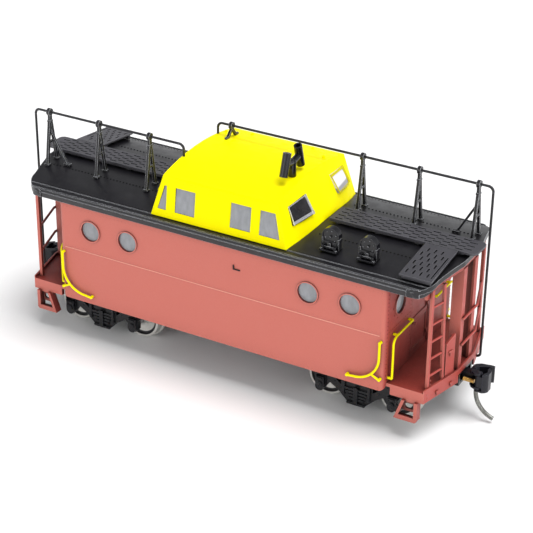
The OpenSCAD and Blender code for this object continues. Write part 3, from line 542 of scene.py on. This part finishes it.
def end_sill_details(end):
    """Brackets and bolts on the slanted sill, a gate latch, and bolts on the ladder's feet.

    They are made with the sill along Y and its face at x = 0, and then moved to its corner.
    """
    bm = bmesh.new()
    outwards = (1, 0, 0)
    bolt, foot_x = 0.16, -0.36
    for y in (4.5, 9.4):
        box(bm, (-0.1, y - 0.45, 10.5), (0.38, y + 0.45, 10.95), 0.08)
        box(bm, (-0.1, y - 0.2, 9.9), (0.3, y + 0.2, 10.6), 0.06)
    box(bm, (-0.6, 8.5, 18.2), (-0.28, 10, 18.55), 0.05)
    box(bm, (-0.6, 9, 17.3), (-0.2, 9.3, 18.4), 0.05)
    for y in (2.55, 7.1):
        for z in (13.1, 14.1):
            dome(bm, (foot_x, y, z), outwards, bolt, 0.12)
    for y in (1.2, 11.2):
        for z in (10.2, 11.3):
            dome(bm, (0, y, z), outwards, bolt, 0.1)
    bm.transform(Matrix.Translation(SILL_CORNER) @ SILL_TURN)
    piece(f"end_sill_fittings_{end}", "car", red_paint, bm, ENDS[end])


# ---- roof and cupola details ----

def roof_details():
    """Rivet rows along the roof, beside the walks and along the eaves."""
    skin = Skin("roof")
    clear_z, pitch, down = 60, 0.88, (0, 0, -1)
    rows = ((-8.3, 21, 42.4, ROOF_RIVET), (8.3, 21, 50.2, ROOF_RIVET),
            (-15.6, 20, 46, FINE_RIVET), (15.6, 20, 46, FINE_RIVET))
    for end, turn in ENDS.items():
        rivets = bmesh.new()
        for y, first_x, last_x, size in rows:
            rivet_row(rivets, skin, (first_x, y, clear_z), (last_x, y, clear_z), pitch, down, size)
        # The rivets take a darker black, painted shade that makes them read as dark dots.
        piece(f"roof_rivets_{end}", "car", shaded_rivet_black, rivets, turn)


def arch_z(y):
    """Height of the roof's arched top at y."""
    return high("roof").z - ROOF_RADIUS + math.sqrt(ROOF_RADIUS ** 2 - y * y)


def eave_corners():
    """The fascia carried round the four rounded corners of the roof, shallower towards the end."""
    bm = bmesh.new()
    centre_x, centre_y = 46.3, 13.1
    near, far = 4.0, 4.93
    foot_z, level_steps, rise = 34.98, 9, 0.15
    for turn in (Matrix(), ACROSS, ALONG, ACROSS @ ALONG):
        rings = []
        for i in range(19):
            t = math.radians(4.5 * i)
            low_z = foot_z + max(0, i - level_steps) * rise
            top_z = arch_z(centre_y + near * math.cos(t)) - 0.4
            profile = ((near, top_z), (near, low_z + 0.3), (far - 0.2, low_z),
                       (far + 0.04, low_z + 0.5), (far + 0.04, top_z - 0.3), (far - 0.15, top_z))
            ring = []
            for r, z in profile:
                corner = Vector((centre_x + r * math.sin(t), centre_y + r * math.cos(t), z))
                ring.append(bm.verts.new(turn @ corner))
            rings.append(ring)
        rings_to_faces(bm, rings)
    piece("eave_corners", "car", black_roof, bm)


def bar_between(bm, p, q, normal, width, thick):
    """Flat bar on a surface from p to q; width lies in the surface."""
    p, q, normal = Vector(p), Vector(q), Vector(normal).normalized()
    ahead = (q - p).normalized()
    side = normal.cross(ahead).normalized()
    rings = []
    for at in (p, q):
        rings.append([
            bm.verts.new(at + side * a * width / 2 + normal * b)
            for a, b in ((-1, -0.12), (1, -0.12), (1, thick), (-1, thick))
        ])
    rings_to_faces(bm, rings)


def cupola_gutters():
    """Gutter line over the windows on both sides of the cupola."""
    skin = Skin("cupola_shell")
    bm = bmesh.new()
    half_length, gutter_z, steps = 14.6, 46.75, 8
    for s in (-1, 1):
        line = []
        for i in range(steps + 1):
            x = -half_length + 2 * half_length * i / steps
            point, _ = skin.hit((x, s * 30, gutter_z), (0, -s, 0))
            if point is not None:
                line.append(point)
        tube(bm, line, 0.12, 10)
    piece("cupola_gutters", "car", yellow_trim, bm)


def cupola_pins():
    """Four small pins on the cupola's roof."""
    skin = Skin("cupola_shell")
    bm = bmesh.new()
    clear_z = high("cupola_shell").z + 5
    for x, y in ((-13.4, 9.9), (-8.1, 12.7), (7.6, 13.0), (12.9, 8.3)):
        point, _ = skin.hit((x, y, clear_z), (0, 0, -1))
        lathe(bm, [(0.34, -0.2), (0.34, 0.4), (0.24, 0.5), (0, 0.52)], point, (0, 0, 1), 14)
    piece("cupola_pins", "car", yellow_trim, bm)


# Corners (y, z) of a cupola end window, from its lower inner one round by the outer ones, and the
# widths of the bars between them: in silver on the -Y window and, on the +Y one, in a darker yellow
# that is painted shade.
WINDOW_OUTLINE = [(5.8, 42.0), (13.1, 41.75), (12.7, 45.65), (5.6, 46.05)]
WINDOW_MIDDLE = Vector((0, 9.3, 43.9))
FRAME_WIDTHS = (0.62, 0.2, 0.22, 0.62)
REVEAL_WIDTHS = (0.2, 0.8, 0.55, 0.2)


def window_bars(bm, panes, s, widths):
    """Bars along the four edges of the cupola end window on side s of end a."""
    rise = Vector((0.88, 0, 0.47))
    for i, width in enumerate(widths):
        p, q = (Vector((0,) + WINDOW_OUTLINE[k % 4]) for k in (i, i + 1))
        inward = (WINDOW_MIDDLE - (p + q) / 2).normalized() * (width / 2 + 0.05)
        ends = []
        for corner in (p + inward, q + inward):
            corner += (WINDOW_MIDDLE - corner).normalized() * 0.08
            ends.append(panes.hit((40, s * corner.y, corner.z), (-1, 0, 0))[0])
        bar_between(bm, ends[0] + rise * 0.1, ends[1] + rise * 0.1, rise, width, 0.12)


def cupola_windows():
    """Silver frames and yellow reveals of the cupola's end windows; the reveals' darker yellow is
    painted shade.
    """
    panes = Skin("cupola_end_panes")
    for end, turn in ENDS.items():
        frames, reveals = bmesh.new(), bmesh.new()
        window_bars(frames, panes, -1, FRAME_WIDTHS)
        window_bars(reveals, panes, 1, REVEAL_WIDTHS)
        piece(f"cupola_frames_{end}", "car", frame_silver, frames, turn)
        piece(f"cupola_reveals_{end}", "car", shaded_reveal_yellow, reveals, turn)


def drum_details():
    """End bolts, feet and clamps of the two roof drums."""
    lo, hi = low("roof_drums"), high("roof_drums")
    bm = bmesh.new()
    to_centre, drum_z, face_y = 2.1, 41.5, -13.1
    bolt_circle, bolt_count = 1.3, 6
    outwards, up = (0, -1, 0), (0, 0, 1)
    for x in (lo.x + to_centre, hi.x - to_centre):
        lathe(bm, [(0.16, -0.3), (0.16, 0.2), (0, 0.26)], (x, face_y, drum_z), outwards, 12)
        for i in range(bolt_count):
            turn = 2 * math.pi / bolt_count * i + 0.3
            bolt_x, bolt_z = x + bolt_circle * math.cos(turn), drum_z + bolt_circle * math.sin(turn)
            dome(bm, (bolt_x, face_y + 0.2, bolt_z), outwards, 0.15, 0.12)
        box(bm, (x - 1.1, -13.75, 39.0), (x + 1.1, face_y, 39.45), 0.08)
        box(bm, (x - 0.35, -13.6, 39.3), (x + 0.35, -13.0, 40.2), 0.06)
        for s in (-1, 1):
            clamp_x = x + s * 1.9
            box(bm, (clamp_x - 0.22, -13.2, 38.6), (clamp_x + 0.22, -11.8, 41.2), 0.08)
            nut_at = (x + s * 1.75, -13.85, 38.7)
            lathe(bm, [(0.28, -0.1), (0.28, 0.22), (0, 0.24)], nut_at, up, 6)
    piece("drum_fittings", "car", black_roof, bm)


# ---- couplers and trucks ----

def knuckle_springs(end):
    """Coil spring in place of the plain cylinder of the CAD model."""
    lo, hi = low("knuckle_spring_a"), high("knuckle_spring_a")
    bm = bmesh.new()
    wire, turns, steps = 0.11, 8, 14
    radius = (hi.z - lo.z) / 2 - wire
    centre = middle("knuckle_spring_a")
    length = hi.x - lo.x - 2 * wire
    path = []
    for i in range(turns * steps + 1):
        t = i / (turns * steps)
        turn = 2 * math.pi * turns * t
        path.append((lo.x + wire + length * t, centre.y + radius * math.cos(turn),
                     centre.z + radius * math.sin(turn)))
    tube(bm, path, wire, 8)
    body = f"coupler_{end}"
    spring = piece(f"coil_spring_{end}", body, spring_bronze, bm, ENDS[end])
    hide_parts(f"knuckle_spring_{end}")


def coupler_details(end):
    """Rivet, pin ends and a small lug on a coupler head, and the discs that hold its spring."""
    body = f"coupler_{end}"
    bm, discs = bmesh.new(), bmesh.new()
    top_z, under_z = 11.6, 7.66
    pin_x, pin_y = 57.3, -1.6
    dome(bm, (55.7, 0.2, top_z), (0, 0, 1), 0.3, 0.12)
    dome(bm, (pin_x, pin_y, top_z), (0, 0, 1), 0.36, 0.1)
    box(bm, (55.1, -0.4, top_z - 0.1), (56.1, 1.1, top_z + 0.15), 0.08)
    pin_foot = [(0.4, 0), (0.4, 0.16), (0.3, 0.2), (0, 0.22)]
    lathe(bm, pin_foot, (pin_x, pin_y, under_z), (0, 0, -1), 16)
    piece(f"coupler_fittings_{end}", body, coupler_black, bm, ENDS[end])
    thick = 0.16
    centre = middle("knuckle_spring_a")
    for x in (low("knuckle_spring_a").x, high("knuckle_spring_a").x - thick):
        lathe(discs, [(0.52, 0), (0.52, thick)], (x, centre.y, centre.z), (1, 0, 0), 20)
    piece(f"spring_discs_{end}", body, spring_bronze, discs, ENDS[end])


def truck_details(end):
    """Lids, lid hinges, bolts and column rivets on both side frames of a truck."""
    bm = bmesh.new()
    box_y, column_y, frame_y = 14.1, 13.7, 13.2
    lid = [(0.5, 0), (0.46, 0.1), (0.2, 0.16), (0, 0.17)]
    for side in (-1, 1):
        out = Vector((0, side, 0))
        for along in (-1, 1):
            x = TRUCK_X + along * AXLE_REACH
            y = side * box_y
            near, far = sorted((y - side * 0.1, y + side * 0.3))
            box(bm, (x - 0.75, near, 6.55), (x + 0.75, far, 6.95), 0.1)
            for dx in (-0.75, 0.75):
                dome(bm, (x + dx, y, 6.3), out, 0.16, 0.14)
            lathe(bm, lid, (x, y + side * 0.28, 5.2), out, 16)
            for z in (4.6, 7.6, 8.4):
                dome(bm, (TRUCK_X + along * 3.1, side * column_y, z), out, 0.18, 0.14)
            dome(bm, (TRUCK_X + along * 5.4, side * frame_y, 6.5), out, 0.2, 0.16)
            dome(bm, (TRUCK_X + along * 7.4, side * frame_y, 8.6), out, 0.2, 0.16)
        for dx in (-1.6, 0, 1.6):
            dome(bm, (TRUCK_X + dx, side * column_y, 2.45), out, 0.16, 0.14)
    body = f"truck_{end}"
    piece(f"truck_fittings_{end}", body, black_plastic, bm, ENDS[end])


def brake_rigging():
    """Train line, rods and levers under the floor."""
    bm = bmesh.new()
    train_line = [(-43, -1.2, 10.75), (-28, -1.2, 10.75), (-26, -5.4, 10.6),
                  (26, -5.4, 10.6), (28, 1.2, 10.75), (43, 1.2, 10.75)]
    rods = ([(-20, 3.4, 10.2), (3, 3.4, 10.2), (9.4, -7.4, 8.6)],
            [(-20, -3.6, 10), (-2, -3.6, 10), (3.9, -7.4, 8.6)])
    tube(bm, train_line, 0.3, 10)
    for rod in rods:
        tube(bm, rod, 0.18, 8)
    box(bm, (2.4, -4, 9.9), (3.4, 4, 10.2), 0.08)
    piece("brake_rigging", "car", black_plastic, bm)


# ---- studio ----

FLOOR_HALF = 3000
# Brightness of the sky at the horizon and overhead, then each lamp's direction, spread in degrees
# and strength.
HORIZON = 0.85
ZENITH = 0.25
LAMPS = (
    ("key", (0.25, 0.1, 1.0), 40, 2.8),
    ("fill", (-0.35, -1.0, 0.35), 40, 0.6),
    ("end_fill", (1.0, -0.4, 0.4), 40, 0.9),
)


def studio():
    """Pale floor, a sky bright at the horizon, a lamp overhead and two that fill side and end."""
    s = Shader("floor_paper")
    tone = s.mix(s.ramp(s.noise(60, 2), 0.3, 0.7), rgb(0.88, 0.88, 0.885), rgb(0.9, 0.9, 0.9))
    s.surfaces(colour=tone, rough=0.8, specular=0.2)
    bm = bmesh.new()
    box(bm, (-FLOOR_HALF, -FLOOR_HALF, -2), (FLOOR_HALF, FLOOR_HALF, 0))
    bm.transform(Matrix.Scale(MM, 4))
    mesh = bpy.data.meshes.new("floor")
    bm.to_mesh(mesh)
    bm.free()
    mesh.materials.append(s.material)
    floor = bpy.data.objects.new("floor", mesh)
    bpy.context.scene.collection.objects.link(floor)

    world = bpy.data.worlds.new("studio")
    world.use_nodes = True
    nodes, links = world.node_tree.nodes, world.node_tree.links
    height = nodes.new("ShaderNodeSeparateXYZ")
    links.new(nodes.new("ShaderNodeTexCoord").outputs["Generated"], height.inputs[0])
    fade = nodes.new("ShaderNodeMapRange")
    links.new(height.outputs["Z"], fade.inputs["Value"])
    settings = {"From Min": 0.05, "From Max": 0.7, "To Min": HORIZON, "To Max": ZENITH}
    for key, value in settings.items():
        fade.inputs[key].default_value = value
    links.new(fade.outputs["Result"], nodes["Background"].inputs["Strength"])
    nodes["Background"].inputs["Color"].default_value = rgb(0.98, 0.99, 1.0)
    bpy.context.scene.world = world

    for name, towards, spread, power in LAMPS:
        light = bpy.data.lights.new(name, "SUN")
        light.angle = math.radians(spread)
        light.energy = power
        lamp = bpy.data.objects.new(name, light)
        lamp.rotation_euler = Vector(towards).to_track_quat("Z", "Y").to_euler()
        bpy.context.scene.collection.objects.link(lamp)
    bpy.context.scene.view_settings.view_transform = "Standard"


def camera():
    """Long-lens camera above the car's corner at end a."""
    azimuth, elevation, roll = (math.radians(a) for a in (29.378, 27.941, 0.6547))
    target = Vector((2.07, 2.09, 21.0)) * MM
    distance = 0.3843
    back = Vector((math.sin(azimuth) * math.cos(elevation),
                   -math.cos(azimuth) * math.cos(elevation), math.sin(elevation)))
    right = (-back).cross(Vector((0, 0, 1))).normalized()
    up = right.cross(-back)
    x_axis = right * math.cos(roll) + up * math.sin(roll)
    y_axis = up * math.cos(roll) - right * math.sin(roll)
    data = bpy.data.cameras.new("camera")
    data.lens = 112.8
    data.sensor_width = 36
    data.clip_start = 0.01
    cam = bpy.data.objects.new("camera", data)
    cam.matrix_world = Matrix.Translation(target + back * distance) @ Matrix(
        (x_axis, y_axis, back)).transposed().to_4x4()
    bpy.context.scene.collection.objects.link(cam)
    bpy.context.scene.camera = cam


camera()
studio()
dress_cad_nodes()
side_details()
roof_details()
eave_corners()
cupola_gutters()
cupola_pins()
cupola_windows()
drum_details()
for end_name in ENDS:
    end_wall_details(end_name)
    end_sill_details(end_name)
    knuckle_springs(end_name)
    coupler_details(end_name)
    truck_details(end_name)
brake_rigging()
